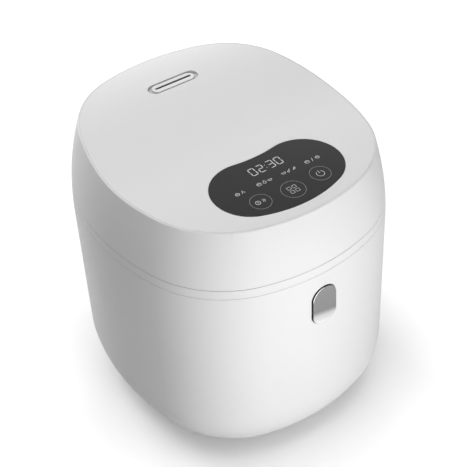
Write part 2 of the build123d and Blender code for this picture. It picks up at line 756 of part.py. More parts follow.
def heater_posts():
    post = rod(POST_RADIUS, LINER_FLOOR + SEAT_GAP, HEATER_LOW - SEAT_GAP, POST_RING, 0)
    return Compound([Rot(0, 0, 30 + 120 * i) * post for i in range(3)])


def thermal_fuse():
    top = HEATER_LOW - SEAT_GAP
    half_x = FUSE_LENGTH / 2
    half_y = FUSE_WIDTH / 2
    return block((-half_x, half_x), (-FUSE_Y - half_y, -FUSE_Y + half_y), (top - FUSE_HEIGHT, top))


def sensor_skirt_low():
    return LINER_FLOOR + SENSOR_TRAVEL + SLIDE_GAP


def sensor_cap():
    cap = rod(SENSOR_RADIUS, sensor_skirt_low(), HEATER_TOP)
    cap -= rod(SENSOR_RADIUS - SENSOR_SKIRT, sensor_skirt_low() - 1, HEATER_TOP - SENSOR_TOP)
    return fillet(cap.edges().sort_by(Axis.Z)[-1], SENSOR_SKIRT / 2)


def sensor_guide():
    outside = SENSOR_RADIUS - SENSOR_SKIRT - SENSOR_PLAY
    return tube(outside, outside - GUIDE_WALL, LINER_FLOOR + BORE_GAP, LINER_FLOOR + GUIDE_HEIGHT)


def sensor_spring():
    low = LINER_FLOOR + SEAT_GAP + SENSOR_WIRE
    turns = (HEATER_TOP - SENSOR_TOP - SEAT_GAP - SENSOR_WIRE - low) / SENSOR_PITCH
    return spring(turns, SENSOR_PITCH, SENSOR_COIL, SENSOR_WIRE, (0, 0, low), (0, 0, 1))


# Inner pot
def pot_solid(radius, floor, corner, top):
    solid = rod(radius, floor, top)
    return fillet(solid.edges().sort_by(Axis.Z)[0], corner)


def inner_pot():
    shell = pot_solid(POT_RADIUS, POT_BOTTOM, POT_CORNER, RIM_TOP)
    shell += rod(RIM_RADIUS, RIM_LOW, RIM_TOP)
    inside = POT_RADIUS - POT_WALL
    shell -= pot_solid(inside, POT_BOTTOM + POT_WALL, POT_CORNER - POT_WALL, RIM_TOP + 1)
    rim = shell.edges().filter_by(GeomType.CIRCLE).group_by(Axis.Z)[-1].sort_by(SortBy.RADIUS)
    return fillet([rim[0], rim[-1]], POT_WALL / 2.2)


# Power board and what stands on it
def power_board():
    half = BOARD_WIDTH / 2
    y = (BOARD_Y - BOARD_DEPTH / 2, BOARD_Y + BOARD_DEPTH / 2)
    board = block((-half, half), y, (BOARD_LOW, BOARD_LOW + BOARD_THICK))
    for x, py in board_studs():
        board -= rod(SCREW_RADIUS + BORE_GAP, BOARD_LOW - 1, BOARD_TOP + 1, x, py)
    return board


def on_board(size, x, y):
    wide, deep, tall = size
    return Pos(x, y, BOARD_TOP + tall / 2) * Box(wide, deep, tall)


def transformer():
    x = BOARD_EDGE + TRANSFORMER[0] / 2 - BOARD_WIDTH / 2 + 2 * STUD_RADIUS
    return fillet(on_board(TRANSFORMER, x, BOARD_Y).edges().filter_by(Axis.Z), STUD_RADIUS / 2)


def relay():
    x = BOARD_WIDTH / 2 - BOARD_EDGE - RELAY[0] / 2 - 2 * STUD_RADIUS
    return on_board(RELAY, x, BOARD_Y)


def capacitor():
    y = BOARD_Y - BOARD_DEPTH / 2 + BOARD_EDGE + CAPACITOR_RADIUS
    return rod(CAPACITOR_RADIUS, BOARD_TOP, BOARD_TOP + CAPACITOR_HEIGHT, 0, y)


def board_screws():
    down = Rot(180, 0, 0) * screw(BOARD_SCREW_LENGTH)
    return Compound([Pos(x, y, BOARD_TOP) * down for x, y in board_studs()])


# Release button: an upright pill whose face bends back below its middle
def button_prism(grow, depth, length):
    plane = Plane((0, -depth, BUTTON_HEIGHT), x_dir=(1, 0, 0), z_dir=(0, -1, 0))
    pill = SlotOverall(BUTTON_TALL + grow, BUTTON_WIDTH + grow, rotation=90)
    return extrude(plane * pill, length)


def release_button():
    half = BUTTON_TALL / 2
    crease = Vector(0, -HALF_DEPTH - BUTTON_CREASE_PROUD, BUTTON_HEIGHT - BUTTON_CREASE_DROP)
    top = Vector(0, -HALF_DEPTH - BUTTON_TOP_PROUD, BUTTON_HEIGHT + half)
    low = Vector(0, -HALF_DEPTH - BUTTON_LOW_PROUD, BUTTON_HEIGHT - half)
    high_end = crease + (top - crease) * 2
    low_end = crease + (low - crease) * 2
    back = [Vector(0, LIP_BACK_Y, end.Z) for end in (high_end, low_end)]
    side = make_face(Polyline(crease, high_end, *back, low_end, close=True))
    side = fillet(side.vertices().sort_by(Axis.Y)[0], BUTTON_BEND)
    face = extrude(side, BUTTON_WIDTH, both=True)
    length = HALF_DEPTH + BUTTON_CREASE_PROUD + LIP_BACK_Y + 1
    pill = button_prism(0.0, -LIP_BACK_Y, length) & face
    flats = pill.faces().filter_by(GeomType.PLANE)
    front = [face for face in flats if face.normal_at().Y < -0.5]
    edges = [edge for face in front for edge in face.edges()]
    rim = [edge for edge in edges if edge.bounding_box().size.Z > BUTTON_EDGE]
    pill = fillet(rim, BUTTON_EDGE)
    pill += button_prism(2 * BUTTON_LIP, -LIP_BACK_Y, BUTTON_LIP_THICK)
    half_pusher = PUSHER_WIDTH / 2
    pusher_y = (LIP_BACK_Y, LIP_BACK_Y + PUSHER_LENGTH)
    pusher_z = (PUSHER_HIGH - PUSHER_TALL, PUSHER_HIGH)
    return pill + block((-half_pusher, half_pusher), pusher_y, pusher_z)


def button_spring():
    start = LIP_BACK_Y + SEAT_GAP + BUTTON_WIRE
    end = FRAME_BACK_Y - FRAME_BACK - SEAT_GAP - BUTTON_WIRE
    turns = (end - start) / BUTTON_PITCH
    place = (0, start, BUTTON_HEIGHT - BUTTON_COIL_DROP)
    return spring(turns, BUTTON_PITCH, BUTTON_COIL, BUTTON_WIRE, place, (0, 1, 0))


# Latch lever, its frame and the lid's catch plate
def latch_lever():
    half = LEVER_WIDTH / 2
    lever = block((-half, half), (LEVER_FRONT_Y, LEVER_BACK_Y), (PUSHER_HIGH - LEVER_TAIL, NOSE_TOP))
    nose = block((-half, half), (LEVER_BACK_Y - 1, LEVER_BACK_Y + NOSE_REACH), (NOSE_LOW, NOSE_TOP))
    tip = nose.edges().filter_by(Axis.X).group_by(Axis.Y)[-1].sort_by(Axis.Z)[-1]
    lever += chamfer(tip, NOSE_REACH * 0.7)
    lever += rod_x(LEVER_BOSS, -half, half, PIVOT_Y, PIVOT_Z)
    return lever - rod_x(PIVOT_RADIUS + PIN_GAP, -half - 1, half + 1, PIVOT_Y, PIVOT_Z)


def latch_pin():
    return rod_x(PIVOT_RADIUS, -CHEEK_OUT, CHEEK_OUT, PIVOT_Y, PIVOT_Z)


def latch_slot_y():
    return LEVER_FRONT_Y - BUTTON_TRAVEL - SLIDE_GAP, LEVER_BACK_Y + NOSE_REACH + 2 * SLIDE_GAP


def latch_screw_places():
    x = CHEEK_OUT + TAB_REACH / 2
    y = TAB_FRONT_Y + TAB_DEPTH / 2
    return [(-x, y), (x, y)]


def latch_frame():
    top = RECESS_LOW - SEAT_GAP
    frame = block((-CHEEK_OUT, CHEEK_OUT), (FRAME_BACK_Y - FRAME_BACK, FRAME_BACK_Y), (FRAME_BOTTOM, top))
    for side in (-1, 1):
        cheek = sorted((side * CHEEK_IN, side * CHEEK_OUT))
        frame += block(cheek, (CHEEK_FRONT_Y, FRAME_BACK_Y), (FRAME_BOTTOM, top))
        reach = sorted((side * CHEEK_IN, side * (CHEEK_OUT + TAB_REACH)))
        frame += block(reach, (TAB_FRONT_Y, TAB_FRONT_Y + TAB_DEPTH), (TAB_LOW, TAB_TOP))
    for x, y in latch_screw_places():
        frame -= rod(SCREW_RADIUS + BORE_GAP, TAB_LOW - 1, TAB_TOP + 1, x, y)
    return frame - rod_x(PIVOT_RADIUS + PIN_GAP, -CHEEK_OUT - 1, CHEEK_OUT + 1, PIVOT_Y, PIVOT_Z)


def latch_screws():
    z = TAB_LOW - BORE_GAP
    return Compound([Pos(x, y, z) * screw(LATCH_SCREW_LENGTH) for x, y in latch_screw_places()])


def catch_stakes():
    x = CATCH_WIDTH / 2 - BOSS_WALL
    y = CATCH_FRONT_Y + CATCH_DEPTH / 2
    return [(-x, y), (x, y)]


def lid_catch():
    half = CATCH_WIDTH / 2
    catch = block((-half, half), (CATCH_FRONT_Y, CATCH_FRONT_Y + CATCH_DEPTH), (CATCH_LOW, CATCH_TOP))
    for x, y in catch_stakes():
        catch -= rod(SCREW_RADIUS + BORE_GAP, CATCH_LOW - 1, CATCH_TOP + 1, x, y)
    return catch


# Touch panel outline: two lobes joined by a front arc and a hollow rear arc
def panel_face(grow):
    front_gap = LOBE_RADIUS + PANEL_BULGE
    rear_gap = LOBE_RADIUS - PANEL_DIP
    front = (LOBE_X**2 + front_gap**2 - LOBE_RADIUS**2) / (2 * PANEL_BULGE)
    rear = (LOBE_X**2 + rear_gap**2 - LOBE_RADIUS**2) / (2 * PANEL_DIP)
    front_y = PANEL_FRONT + front
    rear_y = LOBE_Y + rear_gap + rear
    low = math.degrees(math.atan2(LOBE_Y - front_y, LOBE_X))
    high = math.degrees(math.atan2(rear_y - LOBE_Y, -LOBE_X))
    return make_face(
        [
            CenterArc((LOBE_X, LOBE_Y), LOBE_RADIUS + grow, low, high - low),
            CenterArc((0, rear_y), rear - grow, high - 180, 180 - 2 * high),
            CenterArc((-LOBE_X, LOBE_Y), LOBE_RADIUS + grow, 180 - high, high - low),
            CenterArc((0, front_y), front + grow, 180 - low, 180 + 2 * low),
        ]
    )


def panel_prism(grow):
    return extrude(Pos(0, 0, LID_LOW) * panel_face(grow), BLOCK_TOP - LID_LOW)


def control_panel():
    return (panel_prism(0.0) & below_top(0.0)) - below_top(PANEL_THICK)


def control_posts():
    return [(x, y + CONTROL_Y) for x, y in corners(CONTROL_POST_X, CONTROL_POST_Y)]


def control_board():
    half = CONTROL_WIDTH / 2
    y = (CONTROL_Y - CONTROL_DEPTH / 2, CONTROL_Y + CONTROL_DEPTH / 2)
    board = block((-half, half), y, (CONTROL_HEIGHT, CONTROL_HEIGHT + BOARD_THICK))
    for x, py in control_posts():
        board -= rod(SCREW_RADIUS + BORE_GAP, CONTROL_HEIGHT - 1, CONTROL_HEIGHT + BOARD_THICK + 1, x, py)
    return board


def control_screws():
    z = CONTROL_HEIGHT - BORE_GAP
    return Compound([Pos(x, y, z) * screw(BOARD_SCREW_LENGTH) for x, y in control_posts()])


def under_panel(y):
    return top_height(y) - PANEL_THICK - SEAT_GAP


def display_module():
    half_x = DISPLAY_WIDTH / 2
    half_y = DISPLAY_DEPTH / 2
    low = CONTROL_HEIGHT + BOARD_THICK + BORE_GAP
    y = (DISPLAY_Y - half_y, DISPLAY_Y + half_y)
    return block((-half_x, half_x), y, (low, under_panel(DISPLAY_Y - half_y)))


def touch_pads():
    low = CONTROL_HEIGHT + BOARD_THICK + BORE_GAP
    top = under_panel(KEY_MIDDLE_Y - TOUCH_PAD_RADIUS)
    places = [(-KEY_X, KEY_Y), (0.0, KEY_MIDDLE_Y), (KEY_X, KEY_Y)]
    return Compound([rod(TOUCH_PAD_RADIUS, low, top, x, y) for x, y in places])


# Steam vent: a cap standing in a shallow seat
def vent_slot(grow, z_low, z_high, length, width):
    return slot(length + 2 * grow, width + 2 * grow, z_low, z_high, VENT_Y)


def vent_floor():
    return top_height(VENT_Y) - VENT_FLOOR_DROP


def seat_top():
    return top_height(VENT_Y - VENT_WIDTH / 2 - SEAT_FLANGE) - WALL - SEAT_GAP


def vent_seat():
    top = seat_top()
    low = top - SEAT_THICK
    seat = vent_slot(SEAT_FLANGE, low, top, VENT_LENGTH, VENT_WIDTH)
    seat += vent_slot(-SEAM_GAP, low, vent_floor(), VENT_LENGTH, VENT_WIDTH)
    bore = SLIDE_GAP - STEM_INSET
    tube_low = low - SEAT_TUBE_LENGTH
    seat += vent_slot(bore + SEAT_TUBE_WALL, tube_low, top, CAP_LENGTH, CAP_WIDTH)
    hole = vent_slot(bore, tube_low - 1, BLOCK_TOP, CAP_LENGTH, CAP_WIDTH)
    return seat - hole


def vent_cap():
    low = vent_floor() + SEAT_GAP
    top = top_height(VENT_Y) - CAP_SINK
    cap = vent_slot(0.0, low, top, CAP_LENGTH, CAP_WIDTH)
    cap = fillet(cap.edges().group_by(Axis.Z)[-1], CAP_THICK / 4)
    stem = vent_slot(-STEM_INSET, low - STEM_LENGTH, low, CAP_LENGTH, CAP_WIDTH)
    cap += stem - vent_slot(-STEM_INSET - STEM_WALL, low - STEM_LENGTH, low, CAP_LENGTH, CAP_WIDTH)
    return cap - vent_slot(0.0, low - 1, top + 1, STEAM_SLOT_LENGTH, STEAM_SLOT_WIDTH)


def vent_insert():
    cap_low = vent_floor() + SEAT_GAP
    top = top_height(VENT_Y) - CAP_SINK - INSERT_SINK
    low = cap_low - BORE_GAP - INSERT_FLANGE
    insert = vent_slot(-BORE_GAP, low, top, STEAM_SLOT_LENGTH, STEAM_SLOT_WIDTH)
    flange = STEM_INSET + STEM_WALL + BORE_GAP
    insert += vent_slot(-flange, low, low + INSERT_FLANGE, CAP_LENGTH, CAP_WIDTH)
    slit = STEAM_SLOT_LENGTH - STEAM_SLOT_WIDTH
    return insert - vent_slot(0.0, low - 1, top + 1, slit, INSERT_SLIT)


def steam_duct():
    low = LID_BASE_LOW + DOME_HEIGHT + LID_BASE_THICK + SEAT_GAP
    top = seat_top() - SEAT_THICK - SEAT_TUBE_LENGTH + DUCT_OVERLAP
    inside = 2 * SLIDE_GAP - STEM_INSET + SEAT_TUBE_WALL
    duct = vent_slot(inside + DUCT_WALL, low, top, CAP_LENGTH, CAP_WIDTH)
    return duct - vent_slot(inside, low - 1, top + 1, CAP_LENGTH, CAP_WIDTH)


# Lid cover
def lid_block(z_low, depth):
    return wall_block(z_low, BLOCK_TOP, depth) & below_top(depth)


def lid_screw_places():
    cx, cy = corner_centre()
    reach = (CORNER_RADIUS - LID_SCREW_INSET) / math.sqrt(2)
    return corners(cx + reach, cy + reach)


def lid_boss_top():
    return LID_BASE_LOW + LID_BOSS_DEPTH + LID_BASE_THICK


def lid_post(radius, z_low, x, y):
    return rod(radius, z_low, BLOCK_TOP, x, y) & below_top(WALL / 2)


def lid_cover():
    cover = lid_block(LID_LOW, 0.0)
    crease = cover.faces().sort_by(Axis.Z)[-1].outer_wire().edges()
    cover = fillet(crease, CREASE_RADIUS)
    cover -= lid_block(LID_LOW - 1, WALL)
    line = wall_band(LID_BASE_TOP, BLOCK_TOP, CREASE_RADIUS, CREASE_RADIUS + CREASE_LINE)
    cover -= line - below_top(CREASE_LINE_DEPTH)
    cover -= panel_prism(SEAT_GAP) - below_top(PANEL_THICK + BORE_GAP)
    cover -= panel_prism(-PANEL_LEDGE)
    cover -= vent_slot(0.0, LID_LOW, BLOCK_TOP, VENT_LENGTH, VENT_WIDTH)
    low = lid_boss_top() + SEAT_GAP
    hole_top = LID_BASE_LOW + LID_BOSS_DEPTH + LID_SCREW_LENGTH + SEAT_GAP
    for x, y in lid_screw_places():
        cover += lid_post(SCREW_RADIUS + BOSS_WALL, low, x, y)
        cover -= rod(SCREW_RADIUS + BORE_GAP, low - 1, hole_top, x, y)
    stud_low = CONTROL_HEIGHT + BOARD_THICK + SEAT_GAP
    for x, y in control_posts():
        cover += lid_post(STUD_RADIUS, stud_low, x, y)
        cover -= rod(SCREW_RADIUS + BORE_GAP, stud_low - 1, stud_low + BOARD_SCREW_LENGTH, x, y)
    cover += knuckle()
    cover -= rod_x(HINGE_COIL + 2 * HINGE_WIRE, -SPRING_SPACE / 2, SPRING_SPACE / 2, HINGE_Y, HINGE_Z)
    return cover - rod_x(HINGE_PIN + PIN_GAP, -HINGE_WIDTH, HINGE_WIDTH, HINGE_Y, HINGE_Z)


def knuckle():
    half = KNUCKLE_WIDTH / 2
    barrel = rod_x(HINGE_RADIUS, -half, half, HINGE_Y, HINGE_Z)
    root = HALF_DEPTH - inset_at(HINGE_Z + KNUCKLE_WEB, WALL)
    return barrel + block((-half, half), (root, HINGE_Y), (LID_LOW + SEAT_GAP, HINGE_Z + KNUCKLE_WEB))


# Lid base with the dome over the inner lid
def lid_base():
    roof = LID_BASE_LOW + DOME_HEIGHT
    roof_top = roof + LID_BASE_THICK
    outside = DOME_RADIUS + LID_BASE_THICK
    edge = inset_at(LID_BASE_TOP, WALL + SEAM_GAP)
    base = plate(edge, LID_BASE_LOW, LID_BASE_TOP) + rod(outside, LID_BASE_LOW, roof_top)
    base -= rod(DOME_RADIUS, LID_BASE_LOW - 1, roof)
    half = LEVER_WIDTH / 2 + 3 * SLIDE_GAP
    front = LEVER_FRONT_Y - 1.5 * BUTTON_TRAVEL
    rear = CATCH_FRONT_Y + CATCH_DEPTH / 3
    base -= block((-half, half), (front, rear), (LID_BASE_LOW - 1, LID_BASE_TOP + 1))
    for x, y in catch_stakes():
        base += rod(SCREW_RADIUS, LID_BASE_LOW, CATCH_TOP + CATCH_THICK / 2, x, y)
    boss_top = lid_boss_top()
    for x, y in lid_screw_places():
        base += rod(HEAD_RADIUS + BOSS_WALL / 2, LID_BASE_LOW, boss_top, x, y)
        base -= rod(HEAD_RADIUS + SLIDE_GAP, LID_BASE_LOW - 1, LID_BASE_LOW + LID_BOSS_DEPTH, x, y)
        base -= rod(SCREW_RADIUS + BORE_GAP, LID_BASE_LOW, boss_top + 1, x, y)
    base -= vent_slot(-SEAT_TUBE_WALL, roof - 1, roof_top + 1, CAP_LENGTH, CAP_WIDTH + SEAT_TUBE_WALL)
    base -= rod(LID_POST_NECK + SEAM_GAP, roof - 1, roof_top + 1)
    return base - rod(LID_SENSOR_RADIUS + SEAM_GAP, roof - 1, roof_top + 1, LID_SENSOR_X)


def lid_screws():
    z = LID_BASE_LOW + LID_BOSS_DEPTH - BORE_GAP
    return Compound([Pos(x, y, z) * screw(LID_SCREW_LENGTH) for x, y in lid_screw_places()])


def inner_lid():
    disc = rod(INNER_LID_RADIUS, INNER_LID_LOW, INNER_LID_TOP)
    disc -= rod(LID_POST_NECK + SEAM_GAP, INNER_LID_LOW - 1, INNER_LID_TOP + 1)
    disc -= rod(LID_SENSOR_RADIUS + SEAM_GAP, INNER_LID_LOW - 1, INNER_LID_TOP + 1, LID_SENSOR_X)
    y = VENT_Y - STEAM_PITCH
    for i in range(-2, 3):
        disc -= rod(STEAM_HOLE, INNER_LID_LOW - 1, INNER_LID_TOP + 1, i * STEAM_PITCH, y)
    return disc


def lid_gasket():
    inside = INNER_LID_RADIUS - GASKET_IN
    outside = INNER_LID_RADIUS + GASKET_OUT
    slope = GASKET_IN * 0.6
    low = RIM_TOP + GASKET_CLEAR
    top = INNER_LID_TOP + BORE_GAP + GASKET_TOP
    groove = INNER_LID_RADIUS + BORE_GAP
    return turned(
        [
            (inside + slope, low),
            (outside - slope, low),
            (outside, low + slope),
            (outside, top),
            (inside, top),
            (inside, INNER_LID_TOP + BORE_GAP),
            (groove, INNER_LID_TOP + BORE_GAP),
            (groove, INNER_LID_LOW - BORE_GAP),
            (inside, INNER_LID_LOW - BORE_GAP),
            (inside, low + slope),
        ]
    )


def lid_grommet():
    roof_top = LID_BASE_LOW + DOME_HEIGHT + LID_BASE_THICK
    head_top = INNER_LID_LOW - SEAT_GAP
    grommet = rod(LID_POST_HEAD, head_top - 2 * SEAT_GAP - LID_BASE_THICK / 2, head_top)
    grommet += rod(LID_POST_NECK, head_top, roof_top + SEAT_GAP)
    return grommet + rod(LID_POST_CAP, roof_top + SEAT_GAP, roof_top + SEAT_GAP + LID_BASE_THICK)


def lid_sensor():
    roof_top = LID_BASE_LOW + DOME_HEIGHT + LID_BASE_THICK
    probe = rod(LID_SENSOR_RADIUS, INNER_LID_LOW - LID_BASE_THICK / 2, roof_top + SEAT_GAP, LID_SENSOR_X)
    high = roof_top + SEAT_GAP + LID_BASE_THICK
    return probe + rod(LID_SENSOR_FLANGE, roof_top + SEAT_GAP, high, LID_SENSOR_X)


# Pieces, saved one file each
PIECES = (
    outer_shell,
    base_cover,
    rubber_feet,
    base_screws,
    upper_ring,
    well_liner,
    keep_warm_band,
    heater_plate,
    heating_element,
    heater_posts,
    thermal_fuse,
    sensor_guide,
    sensor_spring,
    sensor_cap,
    inner_pot,
    power_board,
    board_screws,
    transformer,
    relay,
    capacitor,
    power_inlet,
    inlet_pins,
    release_button,
    button_spring,
    latch_lever,
    latch_frame,
    latch_pin,
    latch_screws,
    hinge_pin,
    hinge_spring,
    lid_cover,
    lid_base,
    lid_screws,
    lid_catch,
    control_panel,
    control_board,
    control_screws,
    display_module,
    touch_pads,
    inner_lid,
    lid_gasket,
    lid_grommet,
    lid_sensor,
    steam_duct,
    vent_seat,
    vent_cap,
    vent_insert,
)

for piece in PIECES:
    save(piece(), piece.__name__)
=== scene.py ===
import json
import math

import bmesh
import bpy
from mathutils import Matrix, Vector
from mathutils.bvhtree import BVHTree


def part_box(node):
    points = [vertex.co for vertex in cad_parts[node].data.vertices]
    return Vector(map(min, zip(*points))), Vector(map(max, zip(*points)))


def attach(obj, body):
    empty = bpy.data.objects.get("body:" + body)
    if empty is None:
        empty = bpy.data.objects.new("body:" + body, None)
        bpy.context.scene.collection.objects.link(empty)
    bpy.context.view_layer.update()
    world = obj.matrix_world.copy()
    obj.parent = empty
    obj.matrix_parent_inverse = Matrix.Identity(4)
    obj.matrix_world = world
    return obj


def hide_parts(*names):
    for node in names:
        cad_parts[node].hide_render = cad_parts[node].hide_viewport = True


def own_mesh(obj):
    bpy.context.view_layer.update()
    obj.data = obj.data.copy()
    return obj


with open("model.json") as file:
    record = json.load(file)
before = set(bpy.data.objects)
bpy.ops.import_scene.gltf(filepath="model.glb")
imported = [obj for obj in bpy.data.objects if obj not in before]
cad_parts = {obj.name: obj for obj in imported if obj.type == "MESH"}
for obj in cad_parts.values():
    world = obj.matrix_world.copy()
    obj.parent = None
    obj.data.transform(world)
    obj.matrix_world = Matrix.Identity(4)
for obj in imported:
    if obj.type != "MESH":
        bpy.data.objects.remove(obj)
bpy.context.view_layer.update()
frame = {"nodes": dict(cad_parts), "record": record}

scene = bpy.context.scene
scene.view_settings.view_transform = "Standard"

# A millimetre in metres, directions in the frame, and the corners of a square in turn
MM = 0.001
UP = Vector((0.0, 0.0, 1.0))
BACK = Vector((0.0, 1.0, 0.0))
CORNERS = ((-1, -1), (1, -1), (1, 1), (-1, 1))

# Camera: the photograph's viewing angle, in degrees and millimetres
CAMERA_AZIMUTH = -33.14
CAMERA_ELEVATION = 40.234
CAMERA_ROLL = -3.188
CAMERA_DISTANCE = 842.556
CAMERA_AIM_HEIGHT = 100.0
CAMERA_AIM_RIGHT = 1.435
CAMERA_AIM_UP = 17.979
CAMERA_LENS = 88.837
CAMERA_SENSOR = 36.0

# Floor and backdrop: lengths in metres, greys and strengths as shares of white
FLOOR_SIZE = 8.0
FLOOR_PAPER = 0.95
PAPER_DRIFT = 0.01
PAPER_SCALE = 30.0
FLOOR_ALBEDO = 0.45
FLOOR_FAR = 1.5
# Painted shadow: the floor's glow is dimmer near the object and, by ambient occlusion, dimmer still where
# it meets it
FLOOR_GLOW_AND_PAINTED_SHADOW = ((0.10, 0.20), (0.17, 0.40), (FLOOR_FAR, 1.0))
CONTACT_SHADOW_REACH = 0.016
CONTACT_SHADE = 0.85
WORLD_LIGHT = 0.02

# Lamps: place and side in metres, power in watts, and whether shiny surfaces mirror them
LAMP_AIM = (0.0, 0.0, 0.11)
LAMPS = {
    "front_light": dict(spot=(-0.06, -0.58, 0.175), side=0.25, watts=1.95, mirrored=False),
    "top_light": dict(spot=(0.0, 0.0, 1.2), side=1.0, watts=5.65, mirrored=True),
    "rear_light": dict(spot=(-0.35, 1.3, 1.1), side=1.0, watts=13.6, mirrored=True),
    "left_light": dict(spot=(-1.2, -0.5, 0.5), side=0.8, watts=0.65, mirrored=True),
    "right_light": dict(spot=(0.9, 1.2, 0.6), side=0.8, watts=5.0, mirrored=True),
}

# Surfaces: where most noise values lie, and what every grained surface shares
NOISE_RANGE = (0.3, 0.7)
DRIFT_SCALE = 14.0
GLOSS_DRIFT = 0.15
GRAIN_STRENGTH = 0.35

# Grained surfaces by slot: grain in repeats per metre, its depth in millimetres, the rest as shares
WHITE = dict(colour=(0.86, 0.86, 0.86), rough=0.45, grain=1500.0, depth=0.02, tone=0.008, specular=0.28)
GRAINED = {
    "white_plastic": WHITE,
    "vent_plastic": dict(colour=(0.58, 0.58, 0.58), rough=0.50, grain=1200.0, depth=0.03),
    "base_plastic": dict(colour=(0.70, 0.70, 0.70), rough=0.55, grain=1200.0, depth=0.05),
    "lid_plastic": dict(colour=(0.74, 0.74, 0.73), rough=0.48, grain=1300.0, depth=0.03),
    "lever_plastic": dict(colour=(0.45, 0.45, 0.45), rough=0.50, grain=1200.0, depth=0.03),
    "relay_case": dict(colour=(0.03, 0.07, 0.18), rough=0.35, grain=1200.0, depth=0.02),
    "capacitor_can": dict(colour=(0.025, 0.025, 0.035), rough=0.40, grain=900.0, depth=0.02, tone=0.10),
    "display_case": dict(colour=(0.02, 0.02, 0.02), rough=0.50, grain=1100.0, depth=0.03, tone=0.10),
    "black_plastic": dict(
        colour=(0.018, 0.018, 0.018), rough=0.45, grain=1300.0, depth=0.04, tone=0.15, specular=0.30
    ),
    "panel_gloss": dict(
        colour=(0.013, 0.013, 0.013), rough=0.20, grain=2400.0, depth=0.003, tone=0.20, specular=0.27
    ),
    "foot_rubber": dict(colour=(0.035, 0.035, 0.036), rough=0.80, grain=900.0, depth=0.08, tone=0.12),
    "pad_foam": dict(colour=(0.05, 0.05, 0.05), rough=0.90, grain=500.0, depth=0.20, tone=0.20),
    "seal_silicone": dict(colour=(0.66, 0.66, 0.64), rough=0.38, grain=800.0, depth=0.03),
    "fuse_ceramic": dict(colour=(0.80, 0.78, 0.72), rough=0.70, grain=1000.0, depth=0.05),
    "transformer_core": dict(colour=(0.06, 0.06, 0.065), rough=0.55, grain=600.0, depth=0.10, tone=0.20),
    "screw_steel": dict(colour=(0.58, 0.58, 0.60), rough=0.32, grain=1600.0, depth=0.02, metal=1.0),
    "spring_steel": dict(colour=(0.50, 0.50, 0.52), rough=0.28, grain=1500.0, depth=0.01, metal=1.0),
    "liner_steel": dict(
        colour=(0.66, 0.66, 0.67), rough=0.34, grain=500.0, depth=0.02, metal=1.0, stretch=(1.0, 1.0, 0.05)
    ),
    "element_steel": dict(
        colour=(0.40, 0.39, 0.38), rough=0.50, grain=800.0, depth=0.05, tone=0.15, metal=1.0
    ),
    "band_foil": dict(colour=(0.72, 0.72, 0.73), rough=0.30, grain=240.0, depth=0.10, metal=1.0),
    "cast_aluminium": dict(colour=(0.62, 0.62, 0.63), rough=0.45, grain=700.0, depth=0.08, metal=1.0),
    "pin_brass": dict(colour=(0.72, 0.62, 0.40), rough=0.25, grain=1500.0, depth=0.01, metal=1.0),
}

# Inks of the print, in the same values
INK = dict(rough=0.50, grain=2000.0, depth=0.002)
INKS = {
    "light_print": dict(colour=(0.62, 0.62, 0.62), tone=0.05, **INK),
    "ring_print": dict(colour=(0.22, 0.22, 0.22), tone=0.05, **INK),
    # Painted glow: the lit display's digits are a pale ink, not a light
    "digit_painted_glow": dict(colour=(0.80, 0.80, 0.80), tone=0.03, **INK),
}

# Painted shade in the seams of the white shells: the lower lip of each, and how far the painted shade
# reaches, in millimetres
SEAM_SHADED_NODES = ("outer_shell", "upper_ring")
SEAM_SHADE_REACH = 0.5

# Pot coating: scales in repeats per metre, depth in millimetres
COATING_COLOUR = (0.030, 0.030, 0.031)
COATING_ROUGH = (0.34, 0.48)
COATING_SCALE = 700.0
COATING_DEPTH = 0.04
COATING_STRENGTH = 0.4
FLECK_COLOUR = (0.22, 0.22, 0.22)
FLECK_SCALE = 900.0
FLECK_EDGE = (0.10, 0.22)
FLECK_PATCH_SCALE = 260.0
FLECK_PATCH_EDGE = (0.52, 0.60)

# Spun lid: fine rings in repeats per metre, depth in millimetres, drifts as shares
SPUN_COLOUR = (0.68, 0.68, 0.69)
SPUN_ROUGH = 0.34
SPUN_TONE = 0.08
SPUN_GLOSS_DRIFT = 0.2
SPUN_SCALE = 1400.0
SPUN_DEPTH = 0.02
SPUN_STRENGTH = 0.25

# Circuit boards: scales in repeats per metre, depth in millimetres
MASK_COLOUR = (0.02, 0.12, 0.05)
MASK_SHADE = 0.8
MASK_ROUGH = (0.30, 0.42)
MASK_SCALE = 500.0
TRACK_COLOUR = (0.06, 0.20, 0.08)
TRACK_SCALE = 220.0
TRACK_WIDTH = 0.03
TRACK_DEPTH = 0.03
TRACK_STRENGTH = 0.3

# Release button: height and brush depth in millimetres; a painted reflection down the face as tones at
# shares of the height, leaning across; a painted highlight on the rim and painted shade on the sides
BUTTON_TALL = 32.1
BUTTON_PAINTED_HIGHLIGHT = 0.95
BUTTON_SIDE_PAINTED_SHADE = 0.03
PAINTED_HIGHLIGHT_TURN = (-0.01, -0.06)
PAINTED_SIDE_SHADE_TURN = (-0.72, -0.55)
BEND_LEAN = 0.19
BEND_PAINTED_REFLECTION = ((0.04, 0.82), (0.16, 0.66), (0.25, 0.57), (0.335, 0.33), (0.375, 0.238), (1.0, 0.254))
BUTTON_ROUGH = 0.22
BUTTON_GLOSS_DRIFT = 0.1
BRUSH_SCALE = 2600.0
BRUSH_STRETCH = (1.0, 1.0, 0.06)
BRUSH_DEPTH = 0.01
BRUSH_STRENGTH = 0.15

# Print: strokes, lift and depth in millimetres, and the drop by which points fall onto the panel
RING_STROKE = 0.30
ICON_STROKE = 0.40
PRINT_LIFT = 0.04
PRINT_DEPTH = 0.10
PRINT_DROP = 50.0

# Digits: sizes in millimetres, and each figure's bars, a to f clockwise from the top and g in the middle
DIGIT_WIDTH = 3.9
DIGIT_HEIGHT = 7.2
DIGIT_STROKE = 0.56
SEGMENT_GAP = 0.2
SEGMENTS = {"0": "abcdef", "1": "bc", "2": "abged", "3": "abgcd", "4": "fgbc"}

